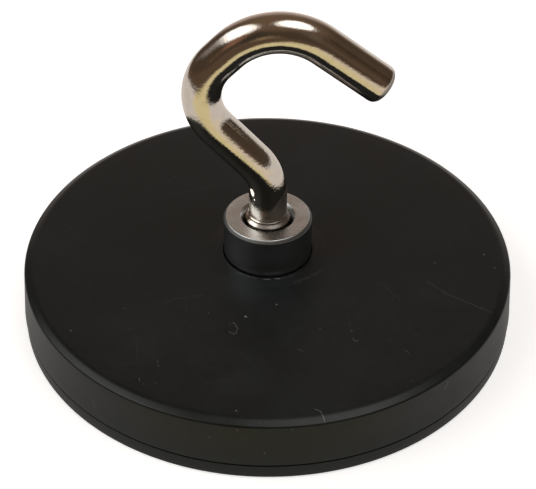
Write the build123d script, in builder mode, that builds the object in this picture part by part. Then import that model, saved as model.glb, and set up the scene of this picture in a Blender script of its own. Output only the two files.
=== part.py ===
from build123d import *
import os
from math import radians, tan

# Rubber-covered pot magnet with a screw-in hook, in millimetres.
# Origin: centre of the magnet face. +Z points out of the back, along the hook's shank.
# The hook is bent in the XZ plane, and its free arm points to +X.

# ---- driving dimensions: rubber jacket ----
jacket_d = 66.0          # widest diameter, just above the seam
jacket_h = 8.6           # magnet face to the rim of the rubber back
jacket_draft = 5.3       # degrees, the wall leans in towards the back
back_edge_r = 0.9        # rounding between wall and back
pad_h = 2.0              # height of the face pad that shows below the seam
pad_inset = 0.05         # the pad's rim stands back from the cover's wall
pad_edge_r = 0.35        # rounding of the face's rim
seam_h = 0.2             # height of the open seam line
seam_depth = 0.45        # how far the seam line cuts in from the cover's wall
face_skin = 1.0          # rubber between the magnets and the face
rubber_wall = 3.0        # rubber outside the backing plate, at the widest diameter
back_dish = 0.3          # the back sinks this much from its rim towards the boss
back_rim_w = 3.5         # width of the flat rim round the dished back
lip_h = 0.1              # the back rises to a low lip round the boss
lip_w = 2.0              # width of that rise, from the boss's hole outwards
lip_land = 0.5           # flat top of the lip
lip_edge_r = 0.3        # rounding of the hole's rim

# ---- driving dimensions: magnets and backing plate ----
magnet_d = 9.0
magnet_h = 3.0
magnet_edge = 0.25       # chamfer of the magnets' rims
pocket_wall = 1.0        # rubber between the outer ring and the core's rim
ring_space = 2.5         # rubber between the two rings
outer_count = 12         # even counts, so that the poles alternate
inner_count = 6
plate_h = 2.5
plate_edge = 0.3         # chamfer of the plate's rims

# ---- driving dimensions: boss ----
boss_d = 11.7
boss_stand = 5.5         # how far the boss stands above the rim of the back
boss_edge = 0.35         # chamfer of the boss's outer rim
spigot_d = 8.0           # spigot riveted through the plate
rivet_flare = 0.8        # how far the riveted end is spread, at 45 degrees
mouth_d = 7.3            # countersink of the threaded bore, at 90 degrees
thread_d = 5.35          # pitch diameter of the M6 thread
thread_depth = 7.3       # full thread, measured from the boss's end
drill_angle = 118.0      # point angle of the tapping drill

# ---- driving dimensions: hook ----
rod_d = 5.0
thread_proud = 1.4       # thread that shows above the boss's end
runout_h = 0.25          # cone between thread and plain rod
end_gap = 0.4            # between the hook's end and the end of the full thread
end_chamfer = 0.6
shank_h = 3.8            # plain straight shank from the boss's end to the first bend
swan_bend_r = 7.25        # first bend, away from the mouth, to the rod's centre line
swan_angle = 42.0
swan_straight = 6.9
bowl_bend_r = 6.9        # back of the bowl
bowl_angle = 87.0
bowl_straight = 2.0
crown_bend_r = 8.7       # top of the bowl
crown_angle = 81.7
arm_straight = 9.6       # free arm, from the last bend to its tip
tip_r = 1.0              # rounding of the tip

# ---- clearances ----
pocket_gap = 0.05        # radial, magnets in their pockets
plate_gap = 0.05         # radial, plate and pad core inside the cover
boss_gap = 0.2          # radial, open gap between the boss and the rubber lip

# ---- worked out ----
jacket_r = jacket_d / 2
pad_r = jacket_r - pad_inset
plate_r = jacket_r - rubber_wall
cavity_r = plate_r + plate_gap
outer_ring_r = plate_r - pocket_wall - magnet_d / 2
inner_ring_r = outer_ring_r - magnet_d - ring_space
magnet_top = face_skin + magnet_h
plate_top = magnet_top + plate_h
seam_top = pad_h + seam_h
back_r = jacket_r - (jacket_h - seam_top) * tan(radians(jacket_draft))
boss_r = boss_d / 2
spigot_r = spigot_d / 2
boss_top = jacket_h + boss_stand
back_rim_r = jacket_r - back_rim_w
back_mid = jacket_h - back_dish
lip_top = back_mid + lip_h
lip_in_r = boss_r + boss_gap
lip_out_r = lip_in_r + lip_w
thread_r = thread_d / 2
rod_r = rod_d / 2
countersink_h = mouth_d / 2 - thread_r
bore_end = boss_top - thread_depth
drill_point_h = thread_r / tan(radians(drill_angle / 2))
hook_end = bore_end + end_gap
runout_start = boss_top + thread_proud
bend_start = boss_top + shank_h


def build_face_pad():
    """Moulded rubber pad: the gripping face, its rim, and a core with a pocket for each magnet."""
    with BuildPart() as face_pad:
        with BuildSketch() as rim:
            Circle(pad_r)
        extrude(amount=pad_h)
        fillet(face_pad.edges().group_by(Axis.Z)[0], pad_edge_r)
        with BuildSketch(Plane.XY.offset(pad_h)) as core:
            Circle(plate_r)
        extrude(amount=magnet_top - pad_h)
        with BuildSketch(Plane.XY.offset(face_skin)) as pockets:
            for ring_r, count in ((outer_ring_r, outer_count), (inner_ring_r, inner_count)):
                with PolarLocations(ring_r, count):
                    Circle(magnet_d / 2 + pocket_gap)
        extrude(amount=magnet_h, mode=Mode.SUBTRACT)
    return face_pad.part


def build_rubber_cover():
    """Moulded rubber cover: drafted wall, dished back, and a lip round the boss, as one turned section."""
    with BuildPart() as rubber_cover:
        with BuildSketch(Plane.XZ) as section:
            with BuildLine() as outline:
                Polyline(
                    (cavity_r, pad_h),
                    (jacket_r - seam_depth, pad_h),
                    (jacket_r - seam_depth, seam_top),
                    (jacket_r, seam_top),
                    (back_r, jacket_h),
                    (back_rim_r, jacket_h),
                    (lip_out_r, back_mid),
                    (lip_in_r + lip_land, lip_top),
                    (lip_in_r, lip_top),
                    (lip_in_r, plate_top),
                    (cavity_r, plate_top),
                    close=True,
                )
            make_face()
            back_corner = section.vertices().sort_by_distance((back_r, jacket_h))[0]
            fillet(back_corner, back_edge_r)
            hole_rim = section.vertices().sort_by_distance((lip_in_r, lip_top))[0]
            fillet(hole_rim, lip_edge_r)
        revolve(axis=Axis.Z)
    return rubber_cover.part


def build_backing_plate():
    """Steel disc that joins the magnets' backs and carries the boss."""
    with BuildPart() as backing_plate:
        with BuildSketch(Plane.XY.offset(magnet_top)) as blank:
            Circle(plate_r)
        extrude(amount=plate_h)
        chamfer(backing_plate.edges(), plate_edge)
        with BuildSketch(Plane.XY.offset(magnet_top)) as spigot_hole:
            Circle(spigot_r)
        extrude(amount=plate_h, mode=Mode.SUBTRACT)
        hole_rims = backing_plate.edges().filter_by(GeomType.CIRCLE)
        chamfer(hole_rims.group_by(Axis.Z)[0].sort_by(SortBy.RADIUS)[0], rivet_flare)
    return backing_plate.part


def build_threaded_boss():
    """Turned steel bush: shoulder on the plate, riveted spigot, blind threaded bore."""
    with BuildPart() as threaded_boss:
        with BuildSketch(Plane.XZ) as section:
            with BuildLine() as outline:
                Polyline(
                    (0, magnet_top),
                    (spigot_r + rivet_flare, magnet_top),
                    (spigot_r, magnet_top + rivet_flare),
                    (spigot_r, plate_top),
                    (boss_r, plate_top),
                    (boss_r, boss_top - boss_edge),
                    (boss_r - boss_edge, boss_top),
                    (mouth_d / 2, boss_top),
                    (thread_r, boss_top - countersink_h),
                    (thread_r, bore_end),
                    (0, bore_end - drill_point_h),
                    close=True,
                )
            make_face()
        revolve(axis=Axis.Z)
    return threaded_boss.part


def build_screw_hook():
    """Bent round bar: threaded end, straight shank, swan neck, bowl and a free arm."""
    with BuildPart() as screw_hook:
        with BuildSketch(Plane.XZ) as threaded_section:
            with BuildLine() as threaded_outline:
                Polyline(
                    (0, hook_end),
                    (thread_r - end_chamfer, hook_end),
                    (thread_r, hook_end + end_chamfer),
                    (thread_r, runout_start),
                    (rod_r, runout_start + runout_h),
                    (0, runout_start + runout_h),
                    close=True,
                )
            make_face()
        revolve(axis=Axis.Z)
        with BuildLine(Plane.XZ) as centre_line:
            shank = Line((0, runout_start + runout_h), (0, bend_start))
            swan_bend = JernArc(shank @ 1, shank % 1, swan_bend_r, swan_angle)
            swan = PolarLine(swan_bend @ 1, swan_straight, direction=swan_bend % 1)
            bowl_bend = JernArc(swan @ 1, swan % 1, bowl_bend_r, -bowl_angle)
            bowl = PolarLine(bowl_bend @ 1, bowl_straight, direction=bowl_bend % 1)
            crown_bend = JernArc(bowl @ 1, bowl % 1, crown_bend_r, -crown_angle)
            PolarLine(crown_bend @ 1, arm_straight, direction=crown_bend % 1)
        with BuildSketch(Plane.XY.offset(runout_start + runout_h)) as bar:
            Circle(rod_r)
        sweep(path=centre_line.wire())
        tip = screw_hook.faces().filter_by(GeomType.PLANE).sort_by(Axis.X)[-1]
        fillet(tip.edges(), tip_r)
    return screw_hook.part


def build_magnet(ring_r, angle):
    """One round magnet at its place in a ring."""
    with BuildPart() as magnet:
        with BuildSketch(Plane.XY.offset(face_skin)) as disc:
            with PolarLocations(ring_r, 1, start_angle=angle):
                Circle(magnet_d / 2)
        extrude(amount=magnet_h)
        chamfer(magnet.edges().filter_by(GeomType.CIRCLE), magnet_edge)
    return magnet.part


def write_piece(piece, name):
    """Label a finished piece and write it to its own file."""
    piece.label = name
    export_step(piece, f"parts/{name}.step")


def main():
    os.makedirs("parts", exist_ok=True)
    write_piece(build_face_pad(), "face_pad")
    write_piece(build_rubber_cover(), "rubber_cover")
    write_piece(build_backing_plate(), "backing_plate")
    write_piece(build_threaded_boss(), "threaded_boss")
    write_piece(build_screw_hook(), "screw_hook")
    rings = (("outer", outer_ring_r, outer_count), ("inner", inner_ring_r, inner_count))
    for ring_name, ring_r, count in rings:
        for index in range(count):
            magnet = build_magnet(ring_r, index * 360 / count)
            write_piece(magnet, f"magnet_{ring_name}_{index + 1:02d}")


main()
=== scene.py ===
"""Pot magnet with a screw hook, dressed for rendering and laid out as an add-on."""

import math

import bpy
from bpy.props import FloatProperty, FloatVectorProperty, IntProperty, PointerProperty
from bpy.types import Operator, Panel, PropertyGroup
from mathutils import Matrix, Vector


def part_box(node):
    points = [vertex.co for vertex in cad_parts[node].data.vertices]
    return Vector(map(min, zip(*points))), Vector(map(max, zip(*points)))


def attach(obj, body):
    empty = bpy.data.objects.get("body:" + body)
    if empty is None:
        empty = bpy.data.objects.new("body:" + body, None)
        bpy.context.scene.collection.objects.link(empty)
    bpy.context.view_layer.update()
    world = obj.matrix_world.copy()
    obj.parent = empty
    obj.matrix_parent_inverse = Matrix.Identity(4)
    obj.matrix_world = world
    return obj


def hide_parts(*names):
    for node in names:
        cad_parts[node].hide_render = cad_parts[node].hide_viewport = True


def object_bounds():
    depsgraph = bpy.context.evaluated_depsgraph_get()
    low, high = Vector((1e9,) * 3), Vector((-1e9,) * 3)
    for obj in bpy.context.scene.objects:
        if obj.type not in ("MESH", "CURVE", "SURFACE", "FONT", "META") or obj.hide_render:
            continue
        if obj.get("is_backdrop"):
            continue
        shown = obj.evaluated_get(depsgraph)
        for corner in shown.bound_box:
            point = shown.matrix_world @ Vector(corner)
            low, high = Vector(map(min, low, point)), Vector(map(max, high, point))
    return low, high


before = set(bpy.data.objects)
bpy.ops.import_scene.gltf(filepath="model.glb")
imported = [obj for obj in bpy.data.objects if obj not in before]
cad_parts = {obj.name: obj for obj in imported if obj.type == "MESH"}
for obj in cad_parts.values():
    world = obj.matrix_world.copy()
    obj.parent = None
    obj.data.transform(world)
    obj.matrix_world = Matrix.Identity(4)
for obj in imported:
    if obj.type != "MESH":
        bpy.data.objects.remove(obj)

bl_info = {
    "name": "Pot magnet with screw hook",
    "version": (1, 0, 0),
    "blender": (4, 0, 0),
    "location": "3D View > Sidebar > Magnet",
    "description": "Dresses a rubber covered pot magnet and its screw hook",
    "category": "Object",
}

MM = 0.001
TAU = 2.0 * math.pi
CAD_LO, CAD_HI = (corner.copy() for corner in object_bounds())
COVER_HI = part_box("rubber_cover")[1]
PAD_LO, PAD_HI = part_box("face_pad")
BOSS_LO, BOSS_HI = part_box("threaded_boss")
HOOK_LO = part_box("screw_hook")[0]
MAGNETS = [f"magnet_outer_{n:02d}" for n in range(1, 13)]
MAGNETS += [f"magnet_inner_{n:02d}" for n in range(1, 7)]


# ---------------------------------------------------------------- values that a user would change


def length(name, description, default):
    """A length in metres, shown with its unit."""
    return FloatProperty(
        name=name, description=description, default=default, min=0.0, precision=5,
        unit="LENGTH", subtype="DISTANCE",
    )


def angle(name, description, degrees):
    """An angle given in degrees."""
    return FloatProperty(
        name=name, description=description, default=math.radians(degrees),
        unit="ROTATION", subtype="ANGLE",
    )


def share(name, description, default):
    """A factor from 0 to 1."""
    return FloatProperty(
        name=name, description=description, default=default, min=0.0, max=1.0, subtype="FACTOR",
    )


def amount(name, description, default):
    """A plain number."""
    return FloatProperty(name=name, description=description, default=default, precision=4)


def colour(name, description, default):
    """A colour in linear light."""
    return FloatVectorProperty(
        name=name, description=description, default=default, size=3, min=0.0, max=1.0,
        subtype="COLOR",
    )


class CoverSizes(PropertyGroup):
    """Sizes of the moulded rubber cover."""

    segments: IntProperty(
        name="Segments", description="Faces round the cover", default=240, min=48, max=480)
    draft: angle("Wall draft", "How far the wall leans in towards the back", 5.3)
    shoulder_drop: length("Shoulder drop", "Height of the bevel at the back's edge", 0.50 * MM)
    shoulder_width: length("Shoulder width", "Width of the bevel at the back's edge", 1.05 * MM)
    shoulder_rounding: length("Shoulder rounding", "Rounding at the wall", 0.38 * MM)
    rim_rounding: length("Rim rounding", "Long rounding at the back", 1.7 * MM)
    wall_foot: length("Wall foot", "Height of the open seam's upper edge", 2.2 * MM)
    seam_floor: length("Seam floor", "Height of the open seam's lower edge", 2.0 * MM)
    seam_depth: length("Seam depth", "How far the seam cuts in from the wall", 0.45 * MM)
    seam_rounding: length("Seam rounding", "Rounding of the wall's edge at the seam", 0.12 * MM)
    cavity_radius: length("Cavity radius", "Radius of the space round the plate", 30.05 * MM)
    cavity_top: length("Cavity top", "Height of the space round the plate", 6.5 * MM)
    rim_height: length("Rim height", "Height of the back's flat rim", 8.6 * MM)
    rim_radius: length("Rim radius", "Where the back starts to sink", 29.5 * MM)
    middle_height: length("Middle height", "Height of the back near the boss", 8.3 * MM)
    lip_height: length("Lip height", "Height of the low lip round the boss", 8.4 * MM)
    lip_outer: length("Lip outer radius", "Where the lip starts to rise", 8.05 * MM)
    lip_land: length("Lip land radius", "Outer radius of the lip's flat", 6.55 * MM)
    hole_radius: length("Hole radius", "Radius of the hole round the boss", 5.96 * MM)
    hole_rounding: length("Hole rounding", "Rounding of the hole's rim", 0.16 * MM)


class PadSizes(PropertyGroup):
    """Sizes of the moulded face pad."""

    segments: IntProperty(
        name="Segments", description="Faces round the pad", default=240, min=48, max=480)
    rim_height: length("Rim height", "Height of the pad below the seam", 2.0 * MM)
    edge_rounding: length("Edge rounding", "Rounding of the gripping face's edge", 0.35 * MM)
    core_radius: length("Core radius", "Radius of the core inside the cover", 30.0 * MM)
    face_skin: length("Face skin", "Rubber between the magnets and the face", 1.0 * MM)
    pocket_gap: length("Pocket gap", "Radial gap between a magnet and its pocket", 0.05 * MM)


class BossSizes(PropertyGroup):
    """Sizes of the turned bush."""

    segments: IntProperty(
        name="Segments", description="Faces round the boss", default=144, min=48, max=480)
    chamfer: length("Rim chamfer", "Chamfer of the boss's rim", 0.35 * MM)
    shoulder: length("Shoulder height", "Height of the boss's seat on the plate", 6.5 * MM)
    spigot_radius: length("Spigot radius", "Radius of the riveted spigot", 4.0 * MM)
    flare: length("Rivet flare", "How far the riveted end is spread", 0.8 * MM)
    mouth_radius: length("Mouth radius", "Radius of the countersink", 3.65 * MM)
    bore_radius: length("Bore radius", "Radius of the threaded bore's root", 2.98 * MM)
    bore_end: length("Bore end", "Height of the end of the bore", 6.8 * MM)
    point_height: length("Drill point", "Height of the drilled point", 1.6 * MM)


class HookSizes(PropertyGroup):
    """Sizes of the bent hook."""

    segments: IntProperty(
        name="Segments", description="Faces round the bar", default=64, min=24, max=128)
    bar_radius: length("Bar radius", "Radius of the round bar", 2.5 * MM)
    thread_core: length("Thread core", "Radius of the thread's root", 2.45 * MM)
    thread_crest: length("Thread crest", "Radius of the thread's crest", 2.93 * MM)
    thread_pitch: length("Thread pitch", "Rise of the thread in one turn", 1.0 * MM)
    runout_top: length("Thread run-out", "Height at which the thread has run out", 15.75 * MM)
    runout_ring: length("Run-out ring", "Radius of the last, unfinished turn", 2.62 * MM)
    end_chamfer: length("End chamfer", "Chamfer of the threaded end", 0.6 * MM)
    first_bend: length("First bend", "Height at which the bar leaves the upright", 17.9 * MM)
    swan_radius: length("Swan bend radius", "Bend away from the mouth", 7.25 * MM)
    swan_angle: angle("Swan bend angle", "Turn of the first bend", 42.0)
    swan_straight: length("Swan straight", "Straight bar after the first bend", 6.9 * MM)
    bowl_radius: length("Bowl bend radius", "Bend at the back of the bowl", 6.9 * MM)
    bowl_angle: angle("Bowl bend angle", "Turn of the bowl's back", 87.0)
    bowl_straight: length("Bowl straight", "Straight bar before the top", 2.0 * MM)
    crown_radius: length("Crown bend radius", "Bend over the top of the bowl", 8.7 * MM)
    crown_angle: angle("Crown bend angle", "Turn of the top bend", 81.7)
    arm_straight: length("Free arm", "Straight bar from the last bend to the tip", 9.6 * MM)
    tip_rounding: length("Tip rounding", "Rounding of the bar's free end", 1.0 * MM)


class RubberFinish(PropertyGroup):
    """Finish of the moulded rubber."""

    body: colour("Rubber", "Colour of clean rubber", (0.0038, 0.0066, 0.0074))
    rubbed: colour("Rubbed", "Colour where the surface is rubbed", (0.0062, 0.0096, 0.0108))
    # This colour also paints a highlight along the rim of the hole round the boss.
    dust: colour("Dust", "Colour of dust and lint", (0.165, 0.17, 0.17))
    roughness: share("Roughness", "Roughness of clean rubber", 0.42)
    gloss: share("Gloss", "Specular level", 0.32)


class MetalFinish(PropertyGroup):
    """Finish of the metal pieces."""

    zinc: colour("Zinc", "Colour of the zinc plated boss", (0.70, 0.735, 0.75))
    nickel: colour("Nickel", "Colour of the plated hook", (0.61, 0.555, 0.495))
    steel: colour("Steel", "Colour of the backing plate", (0.42, 0.41, 0.40))
    magnet: colour("Magnet plating", "Colour of the magnets", (0.62, 0.60, 0.56))
    zinc_roughness: share("Zinc roughness", "Roughness of the turned boss", 0.17)
    nickel_roughness: share("Nickel roughness", "Roughness of the hook", 0.055)


class StudioSettings(PropertyGroup):
    """Camera, backdrop and surroundings."""

    camera_back: length("Camera distance", "How far the camera stands in front", 133.198 * MM)
    camera_height: length("Camera height", "Height of the camera", 116.442 * MM)
    camera_pitch: angle("Camera pitch", "How far the camera looks down", 38.872)
    camera_pan: angle("Camera pan", "Turn to the right", 0.0214)
    camera_roll: angle("Camera roll", "Roll of the camera", 0.4116)
    lens: amount("Lens", "Focal length in millimetres", 85.496)
    dome: colour("Room", "Colour of the dim room overhead", (0.19, 0.125, 0.080))
    screen: colour("Screen", "Colour of the pale screens round the table", (0.86, 0.83, 0.80))
    box_light: amount("Softbox strength", "Light of the two softboxes", 2.5)


# ---------------------------------------------------------------- modelling helpers


def deselect_all():
    """Leave edit mode and select nothing."""
    if bpy.context.object and bpy.context.object.mode != "OBJECT":
        bpy.ops.object.mode_set(mode="OBJECT")
    bpy.ops.object.select_all(action="DESELECT")


def rounded(corners, steps=6):
    """Points of a section whose corners (r, z, rounding) are rounded off by arcs."""
    points = []
    for here, (r, z, rounding) in enumerate(corners):
        corner = Vector((r, z))
        before = Vector(corners[here - 1][:2]) if here else None
        after = Vector(corners[here + 1][:2]) if here + 1 < len(corners) else None
        if not rounding or before is None or after is None:
            points.append((r, z))
            continue
        to_before = (before - corner).normalized()
        to_after = (after - corner).normalized()
        half = to_before.angle(to_after) / 2.0
        reach = rounding / math.tan(half)
        centre = corner + (to_before + to_after).normalized() * rounding / math.sin(half)
        start = corner + to_before * reach - centre
        end = corner + to_after * reach - centre
        sweep = start.angle_signed(end)
        for step in range(steps + 1):
            turned = Matrix.Rotation(-sweep * step / steps, 2) @ start
            points.append(tuple(centre + turned))
    return points


def divided(points, longest):
    """The same section with its long straight parts divided."""
    out = [points[0]]
    for a, b in zip(points, points[1:]):
        span = math.hypot(b[0] - a[0], b[1] - a[1])
        parts = max(1, math.ceil(span / longest))
        for part in range(1, parts + 1):
            share_done = part / parts
            out.append((a[0] + (b[0] - a[0]) * share_done, a[1] + (b[1] - a[1]) * share_done))
    return out


def start_ring(name, radius, height, count):
    """Add a circle at its place and go into edit mode with all of it selected."""
    deselect_all()
    bpy.ops.mesh.primitive_circle_add(vertices=count, radius=radius, location=(0.0, 0.0, height))
    piece = bpy.context.object
    piece.name = name
    piece.data.name = name
    bpy.ops.object.transform_apply(location=True, rotation=True, scale=True)
    bpy.ops.object.mode_set(mode="EDIT")
    bpy.ops.mesh.select_mode(type="EDGE")
    bpy.ops.mesh.select_all(action="SELECT")
    return piece


def turn_section(section):
    """Extrude the selected ring from point to point of a section round the Z axis."""
    for (r0, z0), (r1, z1) in zip(section, section[1:]):
        bpy.ops.mesh.extrude_region_move(TRANSFORM_OT_translate={"value": (0.0, 0.0, z1 - z0)})
        scale = r1 / r0
        bpy.ops.transform.resize(value=(scale, scale, 1.0), center_override=(0.0, 0.0, z1))


def close_pole(rise=0.0):
    """Bring the selected ring's extrusion together in one point."""
    bpy.ops.mesh.extrude_region_move(TRANSFORM_OT_translate={"value": (0.0, 0.0, rise)})
    bpy.ops.mesh.merge(type="CENTER")


def finish_shell(piece, smooth_angle=35.0):
    """Merge what meets, point all faces outwards and shade the piece."""
    bpy.ops.mesh.select_all(action="SELECT")
    bpy.ops.mesh.remove_doubles(threshold=0.002 * MM)
    bpy.ops.mesh.normals_make_consistent(inside=False)
    bpy.ops.object.mode_set(mode="OBJECT")
    bpy.ops.object.shade_smooth_by_angle(angle=math.radians(smooth_angle))
    loose = [edge for edge in piece.data.edges if edge.is_loose]
    if loose:
        raise RuntimeError(f"{piece.name} has loose edges")
    return piece


def dress(piece, material):
    """Give the piece its only material and its body."""
    piece.data.materials.clear()
    piece.data.materials.append(material)
    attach(piece, "root")


# ---------------------------------------------------------------- node helpers


class Nodes:
    """A short way to add and join nodes in one tree."""

    def __init__(self, tree):
        self.tree = tree
        self.column = 0

    def add(self, kind, settings=None, **inputs):
        node = self.tree.nodes.new(kind)
        node.location = (self.column * 190, -(self.column % 5) * 140)
        self.column += 1
        for key, value in (settings or {}).items():
            setattr(node, key, value)
        for key, value in inputs.items():
            self.put(node.inputs[key.replace("_", " ")], value)
        return node

    def put(self, socket, value):
        if isinstance(value, bpy.types.NodeSocket):
            self.tree.links.new(value, socket)
        else:
            socket.default_value = value

    def math(self, operation, a, b=0.0, c=0.0, clamp=False):
        node = self.add("ShaderNodeMath", {"operation": operation, "use_clamp": clamp})
        for index, value in enumerate((a, b, c)):
            self.put(node.inputs[index], value)
        return node.outputs[0]

    def vector(self, operation, a, b=(0.0, 0.0, 0.0)):
        node = self.add("ShaderNodeVectorMath", {"operation": operation})
        self.put(node.inputs[0], a)
        self.put(node.inputs[1], b)
        return node.outputs["Value" if operation in {"LENGTH", "DISTANCE", "DOT_PRODUCT"} else 0]

    def scaled(self, vector, factors):
        return self.vector("MULTIPLY", vector, factors)

    def split(self, vector):
        node = self.add("ShaderNodeSeparateXYZ", None, Vector=vector)
        return node.outputs

    def join(self, x, y, z):
        node = self.add("ShaderNodeCombineXYZ", None, X=x, Y=y, Z=z)
        return node.outputs[0]

    def ramp(self, value, start, end, low=0.0, high=1.0):
        """A smooth step from low to high while the value goes from start to end."""
        node = self.add("ShaderNodeMapRange", {"interpolation_type": "SMOOTHSTEP"})
        for name, number in (
            ("Value", value), ("From Min", start), ("From Max", end),
            ("To Min", low), ("To Max", high),
        ):
            self.put(node.inputs[name], number)
        return node.outputs[0]

    def noise(self, vector, scale, detail=2.0, roughness=0.5):
        node = self.add(
            "ShaderNodeTexNoise", None, Vector=vector, Scale=scale, Detail=detail,
            Roughness=roughness,
        )
        return node.outputs["Fac"]

    def mix(self, factor, a, b):
        node = self.add("ShaderNodeMix", {"data_type": "RGBA"})
        self.put(node.inputs[0], factor)
        self.put(node.inputs[6], a if isinstance(a, bpy.types.NodeSocket) else (*a, 1.0))
        self.put(node.inputs[7], b if isinstance(b, bpy.types.NodeSocket) else (*b, 1.0))
        return node.outputs[2]

    def bump(self, height, distance, strength=1.0, normal=None):
        node = self.add(
            "ShaderNodeBump", None, Height=height, Distance=distance, Strength=strength)
        if normal is not None:
            self.put(node.inputs["Normal"], normal)
        return node.outputs[0]


def new_material(name):
    """An empty node material with its output, and a helper to fill it."""
    material = bpy.data.materials.new(name)
    material.use_nodes = True
    material.node_tree.nodes.clear()
    nodes = Nodes(material.node_tree)
    shader = nodes.add("ShaderNodeBsdfPrincipled")
    output = nodes.add("ShaderNodeOutputMaterial", None, Surface=shader.outputs[0])
    output.location = (2600, 0)
    place = nodes.add("ShaderNodeTexCoord").outputs["Object"]
    return material, nodes, shader, place


def speck_mask(nodes, place, specks):
    """A mask of dust specks given as x, y, z, radius in millimetres and strength."""
    total = None
    for x, y, z, radius, strength in specks:
        gap = nodes.vector("DISTANCE", place, (x * MM, y * MM, z * MM))
        spot = nodes.ramp(gap, radius * MM, radius * 0.45 * MM, 0.0, strength)
        total = spot if total is None else nodes.math("MAXIMUM", total, spot)
    return total


def stroke_mask(nodes, place, strokes):
    """A mask of thin marks: half width in mm, strength and the points they run through in mm."""
    total = None
    for half_width, strength, *points in strokes:
        for start, end in zip(points, points[1:]):
            start = Vector(start) * MM
            run = Vector(end) * MM - start
            from_start = nodes.vector("SUBTRACT", place, tuple(start))
            along = nodes.vector("DOT_PRODUCT", from_start, tuple(run / run.length_squared))
            along = nodes.math("MINIMUM", nodes.math("MAXIMUM", along, 0.0), 1.0)
            nearest = nodes.scaled(nodes.join(along, along, along), tuple(run))
            gap = nodes.vector("DISTANCE", from_start, nearest)
            line = nodes.ramp(gap, half_width * MM, half_width * 0.3 * MM, 0.0, strength)
            total = line if total is None else nodes.math("MAXIMUM", total, line)
    return total


def rubber_material(name, marked):
    """Moulded black rubber: fine grain, rubbed patches, dust; marks, a painted sheen and a painted
    highlight only on the cover.
    """
    finish = bpy.context.scene.magnet_rubber
    material, nodes, shader, place = new_material(name)
    grain = nodes.noise(place, 5200.0, 3.0, 0.6)
    patches = nodes.noise(place, 95.0, 4.0, 0.55)
    rubbed = nodes.ramp(patches, 0.42, 0.72)
    speckle = nodes.noise(place, 2300.0, 2.0, 0.6)
    dusting = nodes.ramp(speckle, 0.735, 0.80, 0.0, 0.55)
    base = nodes.mix(rubbed, tuple(finish.body), tuple(finish.rubbed))
    mottle = nodes.ramp(nodes.noise(place, 900.0, 3.0, 0.7), 0.30, 0.70, 0.80, 1.20)
    base = nodes.scaled(base, nodes.join(mottle, mottle, mottle))
    base = nodes.mix(dusting, base, tuple(finish.dust))
    if marked:
        # Rubbed patches lighten the cover; the patch in front of the boss foot is a painted sheen.
        cloudy = nodes.ramp(nodes.noise(place, 420.0, 3.0, 0.6), 0.38, 0.62)
        rubs_and_sheen = nodes.math("MULTIPLY", speck_mask(nodes, place, RUBS_AND_SHEEN), cloudy)
        base = nodes.mix(rubs_and_sheen, base, (0.0098, 0.0135, 0.0155))
        wobble = nodes.add("ShaderNodeTexNoise", None, Vector=place, Scale=1500.0, Detail=1.0)
        shift = nodes.scaled(
            nodes.vector("SUBTRACT", wobble.outputs["Color"], (0.5, 0.5, 0.5)),
            (0.35 * MM, 0.35 * MM, 0.35 * MM))
        strayed = nodes.vector("ADD", place, shift)
        broken = nodes.ramp(nodes.noise(place, 3300.0, 2.0, 0.6), 0.36, 0.56)
        # Scuff marks, and a painted highlight along the rim of the boss hole, lighten the cover
        # here.
        scuffs_and_rim_highlight = nodes.math("MULTIPLY", stroke_mask(nodes, strayed, SCUFFS_AND_RIM_HIGHLIGHT), broken)
        base = nodes.mix(scuffs_and_rim_highlight, base, (0.060, 0.058, 0.056))
        # Dust, lint and a painted highlight along the rim of the boss hole take the dust colour.
        marks = nodes.math(
            "MAXIMUM", speck_mask(nodes, strayed, DUST), stroke_mask(nodes, strayed, LINT_AND_RIM_HIGHLIGHT))
        base = nodes.mix(marks, base, tuple(finish.dust))
        x, y, z = nodes.split(place)
        radius = nodes.vector("LENGTH", nodes.join(x, y, 0.0))
        outside = nodes.ramp(radius, 31.0 * MM, 31.5 * MM)
        worn = nodes.math("MULTIPLY", outside, nodes.ramp(z, 7.85 * MM, 8.10 * MM))
    nodes.put(shader.inputs["Base Color"], base)
    wear = nodes.math("MULTIPLY_ADD", rubbed, 0.07, finish.roughness)
    if marked:
        wear = nodes.math("MULTIPLY_ADD", worn, -0.16, wear)
    nodes.put(shader.inputs["Roughness"], nodes.math("MULTIPLY_ADD", grain, 0.08, wear))
    shader.inputs["Specular IOR Level"].default_value = finish.gloss
    lift = nodes.bump(patches, 0.05 * MM, 0.25)
    nodes.put(shader.inputs["Normal"], nodes.bump(grain, 0.012 * MM, 0.7, lift))
    return material


# Dust: x, y, z and radius in mm, and strength.
DUST = (
    (-2.7, -13.7, 8.38, 0.24, 1.0), (-7.4, -13.1, 8.40, 0.13, 0.45),
    (1.2, -11.3, 8.35, 0.19, 0.9), (-18.1, -12.4, 8.50, 0.14, 0.45),
    (10.5, -16.3, 8.46, 0.17, 0.55), (6.6, -15.9, 8.43, 0.14, 0.45),
    (22.2, -2.9, 8.50, 0.16, 0.8), (29.0, -1.3, 8.59, 0.15, 0.8),
    (30.0, -4.0, 8.60, 0.15, 0.8), (-24.4, -16.8, 8.60, 0.15, 0.8),
    (-3.5, -30.2, 8.60, 0.16, 1.0), (-0.8, -32.0, 8.2, 0.17, 0.9),
    (-3.6, -32.5, 3.3, 0.16, 0.9), (-0.2, -32.7, 4.2, 0.16, 1.0),
    (9.4, -31.3, 2.8, 0.14, 0.7), (0.7, -32.7, 3.7, 0.13, 0.7),
    (-6.6, -32.0, 6.0, 0.13, 0.6), (-5.3, -32.0, 7.4, 0.12, 0.6),
    (-3.3, -32.3, 7.6, 0.12, 0.6), (3.0, -32.3, 7.7, 0.12, 0.6),
    (12.1, -20.2, 8.53, 0.11, 0.4), (17.3, -25.1, 8.60, 0.11, 0.5),
)
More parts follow.
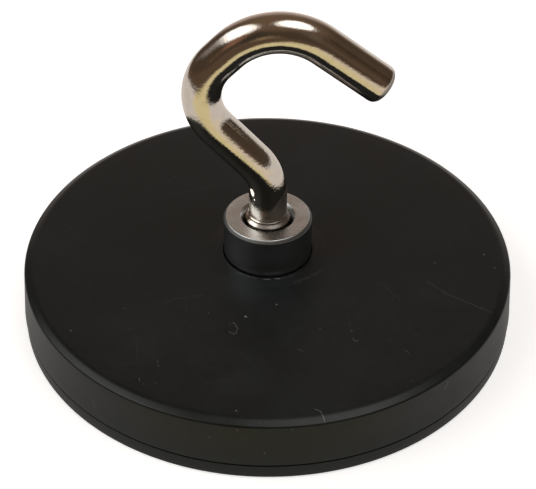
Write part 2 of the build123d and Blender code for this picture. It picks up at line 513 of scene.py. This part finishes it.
# Rubbed patches and a painted sheen in front of the boss foot, given as the dust is.
RUBS_AND_SHEEN = (
    (-3.8, -24.0, 8.55, 5.5, 0.9), (-7.5, -21.0, 8.5, 3.0, 0.6), (-16.0, -20.0, 8.5, 4.5, 0.5),
    (-19.0, -14.0, 8.5, 5.0, 0.4), (4.5, -18.5, 8.5, 3.5, 0.7), (-2.0, -8.6, 8.35, 3.0, 0.7),
    (12.0, -22.0, 8.5, 4.0, 0.5), (23.0, -8.0, 8.5, 5.0, 0.5), (6.0, 22.0, 8.5, 5.0, 0.4),
)
# Lint, scuff marks and a painted highlight along the rim of the hole round the boss: half width in
# mm, strength, and the points each one runs through in mm.
LINT_AND_RIM_HIGHLIGHT = (
    (0.08, 0.55, (-4.8, -15.3, 8.42), (-4.2, -14.9, 8.42), (-3.7, -15.9, 8.42),
     (-4.0, -17.1, 8.43), (-4.7, -16.6, 8.43)),
    (0.07, 0.5, (-15.3, -25.0, 8.59), (-14.9, -25.8, 8.60), (-14.5, -26.0, 8.60)),
    (0.07, 0.45, (-13.3, -21.9, 8.56), (-13.1, -22.9, 8.57)),
    (0.08, 0.75, (-10.5, -30.5, 8.55), (-10.2, -31.0, 8.2), (-10.0, -31.1, 7.7)),
    (0.08, 0.6, (-21.1, -25.0, 4.9), (-20.9, -25.2, 4.2), (-20.8, -25.3, 3.4)),
    (0.08, 0.5, (-23.4, -23.0, 0.6), (-23.0, -23.3, 1.0), (-22.5, -23.8, 1.8)),
    (0.08, 0.55, (10.6, -17.7, 8.48), (10.8, -18.3, 8.49), (11.3, -18.1, 8.49)),
    (0.07, 0.45, (3.9, -19.6, 8.47), (4.1, -19.9, 8.47), (4.4, -20.1, 8.48)),
    (0.07, 0.5, (16.9, -19.8, 8.55), (17.3, -20.2, 8.56)),
    (0.09, 0.75, (21.5, -24.0, 8.1), (21.9, -24.1, 7.3), (21.6, -24.4, 6.7)),
    (0.09, 0.8, (5.5, -29.8, 8.60), (6.2, -30.2, 8.60), (6.6, -30.9, 8.5), (6.7, -31.5, 8.1)),
    (0.08, 0.6, (10.4, -31.0, 1.2), (10.9, -30.9, 1.5), (11.4, -30.7, 1.2)),
    # A painted highlight along the rim of the hole round the boss, drawn as lint.
    (0.11, 1.0, (-0.5, -6.38, 8.40), (0.4, -6.40, 8.40)),
    (0.11, 0.9, (1.0, -6.36, 8.40), (1.6, -6.26, 8.40)),
    (0.09, 0.5, (-4.0, -5.05, 8.40), (-2.6, -5.85, 8.40), (-1.4, -6.25, 8.40)),
)
SCUFFS_AND_RIM_HIGHLIGHT = (
    (0.16, 0.30, (-14.0, -11.6, 8.43), (-11.4, -10.3, 8.40), (-8.6, -9.6, 8.37)),
    (0.13, 0.22, (-16.3, -18.0, 8.52), (-15.8, -20.1, 8.53), (-15.8, -22.2, 8.55)),
    (0.17, 0.28, (14.4, -7.0, 8.40), (15.8, -8.4, 8.42), (17.1, -10.5, 8.46)),
    (0.20, 0.42, (21.0, -6.8, 8.49), (23.0, -9.1, 8.53), (26.0, -11.2, 8.58), (28.6, -12.9, 8.60)),
    (0.16, 0.25, (-13.6, 12.3, 8.44), (-8.9, 13.4, 8.41), (-4.7, 15.8, 8.42)),
    (0.16, 0.25, (2.5, 19.2, 8.46), (4.8, 21.0, 8.49)),
    (0.34, 0.34, (3.6, -6.9, 8.32), (5.2, -6.0, 8.33), (6.9, -4.6, 8.33)),
    # A painted highlight along the rim of the hole round the boss, drawn as a scuff.
    (0.13, 0.6, (1.4, -6.40, 8.40), (3.1, -5.70, 8.40), (4.5, -4.75, 8.40)),
)


def turned_steel_material(name, tint, roughness, ring_scale, ring_depth, bands=()):
    """Turned steel: grooves round the Z axis, a faint stain, and rings darkened as painted shade
    and made rougher.
    """
    material, nodes, shader, place = new_material(name)
    x, y, z = nodes.split(place)
    radius = nodes.vector("LENGTH", nodes.join(x, y, 0.0))
    lathe = nodes.join(radius, nodes.math("MULTIPLY", z, 0.9), 0.0)
    rings = nodes.noise(lathe, ring_scale, 3.0, 0.65)
    stain = nodes.noise(place, 420.0, 3.0, 0.6)
    fine = nodes.noise(place, 5000.0, 2.0, 0.5)
    dull = tuple(channel * 0.86 for channel in tint)
    base = nodes.mix(nodes.ramp(stain, 0.35, 0.7), tuple(tint), dull)
    rough = nodes.math("MULTIPLY_ADD", rings, 0.12, roughness)
    rough = nodes.math("MULTIPLY_ADD", stain, 0.08, rough)
    # Each band is painted shade: the tint darkened by its shade factor, with more roughness.
    for middle, half_width, shade, extra in bands:
        across = nodes.math("ABSOLUTE", nodes.math("SUBTRACT", radius, middle))
        inside = nodes.ramp(across, half_width * 1.15, half_width * 0.75)
        base = nodes.mix(inside, base, tuple(channel * shade for channel in tint))
        rough = nodes.math("MULTIPLY_ADD", inside, extra, rough)
    nodes.put(shader.inputs["Base Color"], base)
    nodes.put(shader.inputs["Roughness"], rough)
    shader.inputs["Metallic"].default_value = 1.0
    shader.inputs["Anisotropic"].default_value = 0.8
    tangent = nodes.add("ShaderNodeTangent", {"direction_type": "RADIAL", "axis": "Z"})
    nodes.put(shader.inputs["Tangent"], tangent.outputs[0])
    ring_bump = nodes.bump(rings, ring_depth, 0.6)
    nodes.put(shader.inputs["Normal"], nodes.bump(fine, 0.004 * MM, 0.5, ring_bump))
    return material


def nickel_material(name, tint, roughness, tip, along):
    """Bright nickel plate: wavy, finely pitted, darker and rougher over the tip, with a press mark
    at the foot.
    """
    material, nodes, shader, place = new_material(name)
    waves = nodes.noise(place, 330.0, 2.0, 0.5)
    pits = nodes.noise(place, 3200.0, 3.0, 0.65)
    haze = nodes.noise(place, 700.0, 3.0, 0.6)
    cooler = tuple(channel * 0.93 for channel in tint)
    from_tip = nodes.vector("SUBTRACT", place, tuple(tip))
    end = nodes.ramp(nodes.vector("DOT_PRODUCT", from_tip, tuple(along)), -0.05 * MM, 0.50 * MM)
    base = nodes.mix(nodes.ramp(haze, 0.4, 0.7), tuple(tint), cooler)
    # The tip is darkened to 0.40 of the tint and made rougher.
    base = nodes.mix(end, base, tuple(channel * 0.40 for channel in tint))
    nodes.put(shader.inputs["Base Color"], base)
    shader.inputs["Metallic"].default_value = 1.0
    rough = nodes.math("MULTIPLY_ADD", haze, 0.06, roughness)
    nodes.put(shader.inputs["Roughness"], nodes.math("MULTIPLY_ADD", end, 0.30, rough))
    long_wave = nodes.bump(waves, 0.06 * MM, 0.35)
    foot = nodes.ramp(nodes.split(place)[2], 21.5 * MM, 18.5 * MM)
    depth = nodes.math("MULTIPLY_ADD", foot, 0.006 * MM, 0.017 * MM)
    worked = nodes.bump(pits, depth, 0.8, long_wave)
    ragged = nodes.math("MULTIPLY_ADD", pits, 0.5, 0.75)
    for centre, radius in PRESS_MARKS:
        off = nodes.scaled(nodes.vector("SUBTRACT", place, centre), (1.0, 1.0, 0.55))
        gap = nodes.math("MULTIPLY", nodes.vector("LENGTH", off), ragged)
        flat = nodes.ramp(gap, radius * 1.2, radius * 0.7)
        rest = nodes.math("SUBTRACT", 1.0, flat)
        held = nodes.scaled(worked, nodes.join(rest, rest, rest))
        turned = nodes.scaled(nodes.join(flat, flat, flat), PRESS_NORMAL)
        worked = nodes.vector("NORMALIZE", nodes.vector("ADD", held, turned))
    nodes.put(shader.inputs["Normal"], worked)
    return material


# Centre and radius of each mark, and the way its facets face.
PRESS_NORMAL = (-0.41, -0.46, 0.786)
PRESS_MARKS = (
    ((-1.98 * MM, -1.53 * MM, 18.95 * MM), 0.42 * MM),
    ((-1.75 * MM, -1.78 * MM, 17.90 * MM), 0.10 * MM),
)


# ---------------------------------------------------------------- operators: one for each piece


class MAGNET_OT_cover(Operator):
    """Turn the moulded rubber cover with its seam, wall, back and lip"""

    bl_idname = "magnet.cover"
    bl_label = "Rubber cover"

    def execute(self, context):
        sizes = context.scene.magnet_cover
        outer = COVER_HI.x
        shoulder = sizes.rim_height - sizes.shoulder_drop
        back = outer - (shoulder - sizes.wall_foot) * math.tan(sizes.draft)
        section = rounded((
            (sizes.cavity_radius, sizes.seam_floor, 0.0),
            (outer - sizes.seam_depth, sizes.seam_floor, 0.0),
            (outer - sizes.seam_depth, sizes.wall_foot, 0.0),
            (outer, sizes.wall_foot, sizes.seam_rounding),
            (back, shoulder, sizes.shoulder_rounding),
            (back - sizes.shoulder_width, sizes.rim_height, sizes.rim_rounding),
            (sizes.rim_radius, sizes.rim_height, 20.0 * MM),
            (sizes.lip_outer, sizes.middle_height, 4.0 * MM),
            (sizes.lip_land, sizes.lip_height, 1.5 * MM),
            (sizes.hole_radius, sizes.lip_height, sizes.hole_rounding),
            (sizes.hole_radius, sizes.cavity_top, 0.0),
            (sizes.cavity_radius, sizes.cavity_top, 0.0),
            (sizes.cavity_radius, sizes.seam_floor, 0.0),
        ), steps=8)
        section = divided(section, 1.6 * MM)
        piece = start_ring("rubber_cover_skin", section[0][0], section[0][1], sizes.segments)
        turn_section(section)
        finish_shell(piece)
        dress(piece, rubber_material("cover_rubber", True))
        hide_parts("rubber_cover")
        return {"FINISHED"}


class MAGNET_OT_pad(Operator):
    """Turn the moulded face pad and cut its magnet pockets"""

    bl_idname = "magnet.pad"
    bl_label = "Face pad"

    def execute(self, context):
        sizes = context.scene.magnet_pad
        outer = PAD_HI.x
        top = PAD_HI.z
        tiny = 0.2 * MM
        section = divided(rounded((
            (tiny, PAD_LO.z, 0.0),
            (outer, PAD_LO.z, sizes.edge_rounding),
            (outer, sizes.rim_height, 0.06 * MM),
            (sizes.core_radius, sizes.rim_height, 0.0),
            (sizes.core_radius, top, 0.0),
            (tiny, top, 0.0),
        )), 6.0 * MM)
        piece = start_ring("face_pad_moulded", section[0][0], section[0][1], sizes.segments)
        turn_section(section)
        close_pole()
        bpy.ops.mesh.select_all(action="DESELECT")
        bpy.ops.mesh.select_non_manifold()
        bpy.ops.mesh.edge_face_add()
        finish_shell(piece, 30.0)
        self.cut_pockets(piece, PAD_LO.z + sizes.face_skin, top, sizes.pocket_gap)
        dress(piece, rubber_material("pad_rubber", False))
        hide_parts("face_pad")
        return {"FINISHED"}

    def cut_pockets(self, piece, floor, top, gap):
        """Cut a round pocket for each magnet of the frame."""
        cutters = []
        for node in MAGNETS:
            low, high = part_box(node)
            middle = (low + high) / 2.0
            radius = (high.x - low.x) / 2.0 + gap
            depth = top - floor + 1.0 * MM
            deselect_all()
            bpy.ops.mesh.primitive_cylinder_add(
                vertices=48, radius=radius, depth=depth,
                location=(middle.x, middle.y, floor + depth / 2.0))
            cutters.append(bpy.context.object)
        deselect_all()
        for cutter in cutters:
            cutter.select_set(True)
        bpy.context.view_layer.objects.active = cutters[0]
        bpy.ops.object.join()
        cutter = bpy.context.object
        deselect_all()
        piece.select_set(True)
        bpy.context.view_layer.objects.active = piece
        pockets = piece.modifiers.new("pockets", "BOOLEAN")
        pockets.operation = "DIFFERENCE"
        pockets.solver = "EXACT"
        pockets.object = cutter
        bpy.ops.object.modifier_apply(modifier="pockets")
        bpy.data.objects.remove(cutter)
        bpy.ops.object.shade_smooth_by_angle(angle=math.radians(30.0))


class MAGNET_OT_boss(Operator):
    """Turn the bush with its rim, countersink, bore and riveted spigot"""

    bl_idname = "magnet.boss"
    bl_label = "Threaded boss"

    def execute(self, context):
        sizes = context.scene.magnet_boss
        outer = BOSS_HI.x
        top = BOSS_HI.z
        foot = BOSS_LO.z
        sink = sizes.mouth_radius - sizes.bore_radius
        tiny = 0.15 * MM
        section = rounded((
            (tiny, foot, 0.0),
            (sizes.spigot_radius + sizes.flare, foot, 0.0),
            (sizes.spigot_radius, foot + sizes.flare, 0.0),
            (sizes.spigot_radius, sizes.shoulder, 0.0),
            (outer, sizes.shoulder, 0.0),
            (outer, top - sizes.chamfer, 0.10 * MM),
            (outer - sizes.chamfer, top, 0.10 * MM),
            (sizes.mouth_radius, top, 0.08 * MM),
            (sizes.bore_radius, top - sink, 0.0),
            (sizes.bore_radius, sizes.bore_end, 0.0),
            (tiny, sizes.bore_end - sizes.point_height, 0.0),
        ), steps=4)
        section = divided(section, 0.8 * MM)
        piece = start_ring("threaded_boss_turned", section[0][0], section[0][1], sizes.segments)
        turn_section(section)
        close_pole(-0.05 * MM)
        bpy.ops.mesh.select_all(action="DESELECT")
        bpy.ops.mesh.select_non_manifold()
        bpy.ops.mesh.edge_face_add()
        finish_shell(piece, 25.0)
        finish = context.scene.magnet_metal
        # The rim chamfer gets a band of painted shade, darkened to 0.27 of the zinc and made
        # rougher.
        material = turned_steel_material(
            "zinc_steel", finish.zinc, finish.zinc_roughness, 5200.0, 0.012 * MM,
            ((outer - sizes.chamfer * 0.44, sizes.chamfer * 0.44, 0.27, 0.24),))
        dress(piece, material)
        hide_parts("threaded_boss")
        return {"FINISHED"}


# The faint last turns of the thread: rise over the bar and drop below the run-out, in mm.
FAINT_TURNS = (
    (-0.05, 1.45), (-0.05, 1.36), (0.09, 1.26), (0.09, 1.20), (-0.05, 1.09),
    (-0.05, 0.93), (0.08, 0.83), (0.08, 0.77), (0.0, 0.67),
)


class MAGNET_OT_hook(Operator):
    """Draw the bar through its bends, as bent wire, and turn its threaded end"""

    bl_idname = "magnet.hook"
    bl_label = "Screw hook"

    def bend(self, place, heading, radius, turn, steps):
        """Spin the selected ring about a bend's centre in the XZ plane."""
        side = 1.0 if turn > 0.0 else -1.0
        inward = Vector((math.cos(heading), 0.0, -math.sin(heading))) * side
        centre = place + inward * radius
        bpy.ops.mesh.spin(
            steps=steps, dupli=False, angle=-turn, center=centre, axis=(0.0, 1.0, 0.0))
        offset = Matrix.Rotation(turn, 3, "Y") @ (place - centre)
        return centre + offset, heading + turn

    def straight(self, place, heading, run, steps):
        """Extrude the selected ring along the bar."""
        step = Vector((math.sin(heading), 0.0, math.cos(heading))) * run / steps
        for _ in range(steps):
            bpy.ops.mesh.extrude_region_move(TRANSFORM_OT_translate={"value": step})
        return place + step * steps

    def execute(self, context):
        sizes = context.scene.magnet_hook
        foot = HOOK_LO.z
        bar = sizes.bar_radius
        top = sizes.runout_top
        section = [
            (0.3 * MM, foot),
            (sizes.thread_core - sizes.end_chamfer, foot),
            (sizes.thread_core, foot + sizes.end_chamfer),
            (sizes.thread_core, top - 2.50 * MM),
            (sizes.thread_crest, top - 1.92 * MM),
            (sizes.thread_crest, top - 1.78 * MM),
            (sizes.runout_ring, top - 1.53 * MM),
        ]
        section += [(bar + rise * MM, top - drop * MM) for rise, drop in FAINT_TURNS]
        section = divided([*section, (bar, top)], 1.0 * MM)
        piece = start_ring("screw_hook_bent", section[0][0], section[0][1], sizes.segments)
        turn_section(section)
        place = Vector((0.0, 0.0, sizes.runout_top))
        heading = 0.0
        place = self.straight(place, heading, sizes.first_bend - sizes.runout_top, 4)
        place, heading = self.bend(place, heading, sizes.swan_radius, -sizes.swan_angle, 16)
        place = self.straight(place, heading, sizes.swan_straight, 8)
        place, heading = self.bend(place, heading, sizes.bowl_radius, sizes.bowl_angle, 30)
        place = self.straight(place, heading, sizes.bowl_straight, 3)
        place, heading = self.bend(place, heading, sizes.crown_radius, sizes.crown_angle, 32)
        arm = sizes.arm_straight - sizes.tip_rounding
        place = self.straight(place, heading, arm, 10)
        self.round_tip(place, heading, bar, sizes.tip_rounding)
        bpy.ops.mesh.select_all(action="DESELECT")
        bpy.ops.mesh.select_non_manifold()
        bpy.ops.mesh.edge_face_add()
        finish_shell(piece, 24.0)
        finish = context.scene.magnet_metal
        along = Vector((math.sin(heading), 0.0, math.cos(heading)))
        material = nickel_material(
            "polished_nickel", finish.nickel, finish.nickel_roughness, place, along)
        dress(piece, material)
        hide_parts("screw_hook")
        self.cut_thread(context, piece, sizes, material)
        return {"FINISHED"}

    def round_tip(self, place, heading, bar, rounding):
        """Extrude and shrink the end ring into a rounded tip."""
        along = Vector((math.sin(heading), 0.0, math.cos(heading)))
        steps = 10
        radius = bar
        done = 0.0
        for step in range(1, steps + 1):
            part = math.radians(90.0 * step / steps)
            forward = rounding * math.sin(part)
            wanted = bar - rounding * (1.0 - math.cos(part))
            bpy.ops.mesh.extrude_region_move(
                TRANSFORM_OT_translate={"value": along * (forward - done)})
            middle = place + along * forward
            scale = wanted / radius
            bpy.ops.transform.resize(value=(scale, scale, scale), center_override=middle)
            radius = wanted
            done = forward
        for scale in (0.6, 0.35):
            bpy.ops.mesh.extrude_region_move(TRANSFORM_OT_translate={"value": (0.0, 0.0, 0.0)})
            middle = place + along * rounding
            bpy.ops.transform.resize(value=(scale, scale, scale), center_override=middle)
        bpy.ops.mesh.extrude_region_move(TRANSFORM_OT_translate={"value": (0.0, 0.0, 0.0)})
        bpy.ops.mesh.merge(type="CENTER")

    def cut_thread(self, context, bar, sizes, material):
        """Wind the thread's ridge up to its run-out just above the boss."""
        turns = 6
        pitch = sizes.thread_pitch
        start = sizes.runout_top - 2.5 * MM - turns * pitch
        deselect_all()
        bpy.ops.mesh.primitive_plane_add(size=2.0, location=(0.0, 0.0, 0.0))
        ridge = context.object
        ridge.name = "screw_hook_thread"
        ridge.data.name = ridge.name
        root = sizes.thread_core - 0.12 * MM
        crest = sizes.thread_crest
        corners = (
            (root, -0.46 * pitch), (root, 0.46 * pitch),
            (crest, -0.10 * pitch), (crest, 0.10 * pitch),
        )
        by_place = {(-1, -1): 0, (-1, 1): 1, (1, -1): 2, (1, 1): 3}
        for vertex in ridge.data.vertices:
            key = (round(vertex.co.x), round(vertex.co.y))
            radius, height = corners[by_place[key]]
            vertex.co = (radius, 0.0, start + height)
        screw = ridge.modifiers.new("thread", "SCREW")
        screw.axis = "Z"
        screw.angle = TAU * turns
        screw.screw_offset = pitch * turns
        screw.steps = 64 * turns
        screw.render_steps = 64 * turns
        screw.use_merge_vertices = False
        bpy.ops.object.modifier_apply(modifier="thread")
        fade = pitch * 0.9
        top = start + turns * pitch
        for vertex in ridge.data.vertices:
            radius = math.hypot(vertex.co.x, vertex.co.y)
            if radius > sizes.thread_core:
                turn_height = vertex.co.z
                left = max(0.0, min(1.0, (top - turn_height) / fade))
                wanted = root + (radius - root) * (0.15 + 0.85 * left)
                vertex.co.x *= wanted / radius
                vertex.co.y *= wanted / radius
        bpy.ops.object.mode_set(mode="EDIT")
        bpy.ops.mesh.select_mode(type="EDGE")
        bpy.ops.mesh.select_all(action="DESELECT")
        bpy.ops.mesh.select_non_manifold()
        bpy.ops.mesh.edge_face_add()
        finish_shell(ridge, 30.0)
        dress(ridge, material)


class MAGNET_OT_inside(Operator):
    """Give the plate and the magnets their finishes"""

    bl_idname = "magnet.inside"
    bl_label = "Plate and magnets"

    def execute(self, context):
        finish = context.scene.magnet_metal
        plate = turned_steel_material("plate_steel", finish.steel, 0.38, 1800.0, 0.008 * MM)
        plating = turned_steel_material("magnet_nickel", finish.magnet, 0.16, 900.0, 0.002 * MM)
        for node in ("backing_plate", *MAGNETS):
            cad_node = bpy.data.objects[node]
            cad_node.data.materials.clear()
            cad_node.data.materials.append(plating if node in MAGNETS else plate)
        return {"FINISHED"}


# The room as a dome seen from below: degrees east and north from straight up.
LOW_ROOM = (0.085, 0.060, 0.040)
BACK_ROOM = (0.82, 0.66, 0.58)
# Centre, radii, softness and, for a softbox, its turn.
HORIZON = ((-10.0, -8.0), (92.0, 94.0), 0.03)
LEFT_BOX = ((-45.0, -4.0), (19.0, 31.0), 0.30, 24.0)
RIGHT_BOX = ((15.0, -9.0), (17.5, 21.0), 0.28, -12.0)
# Centre, radii, softness and colour.
ROOM_PATCHES = (
    ((-42.0, -48.0), (15.0, 13.0), 0.5, (0.30, 0.16, 0.10)),
    ((-24.0, -62.0), (10.0, 15.0), 0.8, (0.055, 0.045, 0.038)),
    ((-11.0, -90.0), (9.0, 13.0), 0.5, (0.32, 0.23, 0.13)),
    ((32.0, -48.0), (9.0, 20.0), 0.5, (0.15, 0.115, 0.085)),
    ((48.0, -58.0), (12.0, 13.0), 0.5, (0.135, 0.088, 0.058)),
    ((59.0, -22.0), (9.0, 6.0), 0.6, (0.062, 0.040, 0.021)),
    ((-38.0, -88.0), (12.0, 10.0), 0.5, (0.18, 0.12, 0.075)),
    ((-67.0, 26.0), (9.0, 14.0), 0.6, (0.17, 0.13, 0.11)),
)
# Colours of the table top as the metal mirrors it.
PALE_SHEET = (0.86, 0.81, 0.77)
CREAM_SHEET = (0.93, 0.82, 0.66)
YELLOW_SHEET = (0.92, 0.81, 0.47)
FADED_YELLOW = (0.94, 0.82, 0.65)
BROWN_TABLE = (0.13, 0.085, 0.055)
SHADED_SHEET = (0.60, 0.57, 0.54)


class MAGNET_OT_studio(Operator):
    """Set the camera, the white table and the softboxes"""

    bl_idname = "magnet.studio"
    bl_label = "Studio"

    def execute(self, context):
        self.camera(context)
        self.table(context)
        self.room(context)
        context.scene.view_settings.view_transform = "Standard"
        return {"FINISHED"}

    def camera(self, context):
        studio = context.scene.magnet_studio
        deselect_all()
        bpy.ops.object.camera_add(location=(0.0, -studio.camera_back, studio.camera_height))
        camera = context.object
        camera.name = "studio_camera"
        pan = Matrix.Rotation(-studio.camera_pan, 4, "Z")
        tilt = Matrix.Rotation(math.radians(90.0) - studio.camera_pitch, 4, "X")
        roll = Matrix.Rotation(studio.camera_roll, 4, "Z")
        camera.rotation_euler = (pan @ tilt @ roll).to_euler()
        camera.data.sensor_width = 36.0
        camera.data.lens = studio.lens
        camera.data.clip_start = 0.01
        camera.data.clip_end = 20.0
        context.scene.camera = camera

    def table(self, context):
        deselect_all()
        bpy.ops.mesh.primitive_plane_add(size=6.0, location=(0.0, 0.0, -0.02 * MM))
        floor = context.object
        floor.name = "table"
        material = bpy.data.materials.new("white_table")
        material.use_nodes = True
        material.node_tree.nodes.clear()
        nodes = Nodes(material.node_tree)
        place = nodes.add("ShaderNodeTexCoord").outputs["Object"]
        x, y, _ = nodes.split(place)
        ahead = nodes.math("MULTIPLY", y, -1.0)
        clear_of_disc = nodes.ramp(ahead, 0.028, 0.046)
        warm = nodes.math("MULTIPLY", clear_of_disc, nodes.ramp(x, -0.064, -0.042))
        right_side = nodes.math("MULTIPLY_ADD", ahead, -0.60, x)
        warm = nodes.math("MULTIPLY", warm, nodes.ramp(right_side, 0.028, 0.000))
        yellow = nodes.mix(nodes.ramp(x, 0.020, 0.046), YELLOW_SHEET, FADED_YELLOW)
        away = nodes.math("MULTIPLY", nodes.ramp(ahead, 0.07, 0.14), nodes.ramp(x, 0.0, 0.03))
        pale = nodes.mix(away, PALE_SHEET, CREAM_SHEET)
        sheet = nodes.mix(warm, pale, yellow)
        wide = nodes.math("MAXIMUM", nodes.math("SUBTRACT", nodes.math("ABSOLUTE", x), 0.10), 0.0)
        reach = nodes.math("MULTIPLY_ADD", wide, -0.4, 0.064)
        near_side = nodes.math("MULTIPLY_ADD", ahead, 0.34, -0.030)
        far_side = nodes.math("MULTIPLY_ADD", ahead, 0.80, -0.10)
        inside = nodes.math("SUBTRACT", nodes.math("MAXIMUM", near_side, far_side), x)
        beyond = nodes.ramp(nodes.math("SUBTRACT", ahead, reach), -0.005, 0.010)
        edge = nodes.math("MULTIPLY", beyond, nodes.ramp(inside, -0.006, 0.008))
        edge = nodes.math("MAXIMUM", edge, nodes.ramp(x, -0.200, -0.235))
        sheet = nodes.mix(edge, sheet, BROWN_TABLE)
        shade = nodes.ramp(nodes.vector("LENGTH", place), 0.040, 0.0335)
        sheen = nodes.mix(shade, sheet, SHADED_SHEET)
        rays = nodes.add("ShaderNodeLightPath").outputs
        white = nodes.add("ShaderNodeBsdfDiffuse", None, Color=(0.80, 0.80, 0.80, 1.0))
        glow = nodes.add("ShaderNodeEmission", None, Color=(1.0, 1.0, 1.0, 1.0), Strength=0.62)
        seen = nodes.add("ShaderNodeAddShader")
        nodes.put(seen.inputs[0], white.outputs[0])
        nodes.put(seen.inputs[1], glow.outputs[0])
        mirrored = nodes.add("ShaderNodeEmission", None, Color=sheen, Strength=1.0)
        direct = nodes.math("ADD", rays["Is Camera Ray"], rays["Is Transmission Ray"], clamp=True)
        first = nodes.add("ShaderNodeMixShader", None, Fac=direct)
        nodes.put(first.inputs[1], white.outputs[0])
        nodes.put(first.inputs[2], seen.outputs[0])
        second = nodes.add("ShaderNodeMixShader", None, Fac=rays["Is Glossy Ray"])
        nodes.put(second.inputs[1], first.outputs[0])
        nodes.put(second.inputs[2], mirrored.outputs[0])
        nodes.add("ShaderNodeOutputMaterial", None, Surface=second.outputs[0])
        floor.data.materials.append(material)
        floor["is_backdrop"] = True

    def room(self, context):
        studio = context.scene.magnet_studio
        world = bpy.data.worlds.new("room")
        context.scene.world = world
        world.use_nodes = True
        world.node_tree.nodes.clear()
        nodes = Nodes(world.node_tree)
        way = nodes.add("ShaderNodeTexCoord").outputs["Generated"]
        x, y, z = nodes.split(way)
        lean = nodes.math("ARCCOSINE", z)
        degrees = nodes.math("MULTIPLY", lean, 180.0 / math.pi)
        flat = nodes.vector("NORMALIZE", nodes.join(x, y, 0.0))
        fx, fy, _ = nodes.split(flat)
        east = nodes.math("MULTIPLY", fx, degrees)
        north = nodes.math("MULTIPLY", fy, degrees)
        low = nodes.ramp(degrees, 32.0, 66.0)
        dome = nodes.mix(low, tuple(studio.dome), LOW_ROOM)
        for centre, radii, soft, shade in ROOM_PATCHES:
            patch = self.oval(nodes, east, north, centre, radii, soft)
            dome = nodes.mix(patch, dome, shade)
        across = nodes.math("ABSOLUTE", nodes.math("SUBTRACT", east, 8.0))
        behind = nodes.math(
            "MULTIPLY", nodes.ramp(north, 34.0, 92.0), nodes.ramp(across, 66.0, 34.0))
        dome = nodes.mix(behind, dome, BACK_ROOM)
        rim = self.oval(nodes, east, north, *HORIZON)
        screens = nodes.mix(rim, tuple(studio.screen), dome)
        left = self.oval(nodes, east, north, *LEFT_BOX)
        right = self.oval(nodes, east, north, *RIGHT_BOX)
        left = nodes.math("MULTIPLY", left, nodes.ramp(east, -64.0, -48.0, 0.22, 1.0))
        boxes = nodes.math("MAXIMUM", left, right)
        strong = (studio.box_light, studio.box_light * 0.985, studio.box_light * 0.96)
        around = nodes.mix(boxes, screens, strong)
        light = nodes.add("ShaderNodeBackground", None, Color=around, Strength=1.0)
        white = nodes.add("ShaderNodeBackground", None, Color=(1.0, 1.0, 1.0, 1.0), Strength=1.0)
        rays = nodes.add("ShaderNodeLightPath").outputs
        direct = nodes.math("ADD", rays["Is Camera Ray"], rays["Is Transmission Ray"], clamp=True)
        either = nodes.add("ShaderNodeMixShader", None, Fac=direct)
        nodes.put(either.inputs[1], light.outputs[0])
        nodes.put(either.inputs[2], white.outputs[0])
        nodes.add("ShaderNodeOutputWorld", None, Surface=either.outputs[0])

    def oval(self, nodes, east, north, centre, radii, soft, turn=0.0):
        """1 inside a turned oval of the dome, 0 outside, with a soft edge."""
        off_east = nodes.math("SUBTRACT", east, centre[0])
        off_north = nodes.math("SUBTRACT", north, centre[1])
        cos, sin = math.cos(math.radians(turn)), math.sin(math.radians(turn))
        along = nodes.math("MULTIPLY_ADD", off_north, sin, nodes.math("MULTIPLY", off_east, cos))
        up = nodes.math("MULTIPLY_ADD", off_east, -sin, nodes.math("MULTIPLY", off_north, cos))
        dx = nodes.math("DIVIDE", along, radii[0])
        dy = nodes.math("DIVIDE", up, radii[1])
        reach = nodes.vector("LENGTH", nodes.join(dx, dy, 0.0))
        return nodes.ramp(reach, 1.0 + soft, 1.0 - soft)


class MAGNET_PT_panel(Panel):
    """Lists the steps that dress the magnet"""

    bl_idname = "MAGNET_PT_panel"
    bl_label = "Pot magnet"
    bl_space_type = "VIEW_3D"
    bl_region_type = "UI"
    bl_category = "Magnet"

    def draw(self, context):
        for operator in STEPS:
            self.layout.operator(operator.bl_idname)


GROUPS = {
    "magnet_cover": CoverSizes,
    "magnet_pad": PadSizes,
    "magnet_boss": BossSizes,
    "magnet_hook": HookSizes,
    "magnet_rubber": RubberFinish,
    "magnet_metal": MetalFinish,
    "magnet_studio": StudioSettings,
}
STEPS = (
    MAGNET_OT_studio, MAGNET_OT_cover, MAGNET_OT_pad, MAGNET_OT_boss, MAGNET_OT_hook,
    MAGNET_OT_inside,
)


def register():
    for group in GROUPS.values():
        bpy.utils.register_class(group)
    for operator in STEPS:
        bpy.utils.register_class(operator)
    bpy.utils.register_class(MAGNET_PT_panel)
    for name, group in GROUPS.items():
        setattr(bpy.types.Scene, name, PointerProperty(type=group))


def unregister():
    for name in GROUPS:
        delattr(bpy.types.Scene, name)
    bpy.utils.unregister_class(MAGNET_PT_panel)
    for operator in reversed(STEPS):
        bpy.utils.unregister_class(operator)
    for group in reversed(tuple(GROUPS.values())):
        bpy.utils.unregister_class(group)


def main():
    register()
    bpy.ops.magnet.studio()
    bpy.ops.magnet.cover()
    bpy.ops.magnet.pad()
    bpy.ops.magnet.boss()
    bpy.ops.magnet.hook()
    bpy.ops.magnet.inside()


if __name__ == "__main__":
    main()
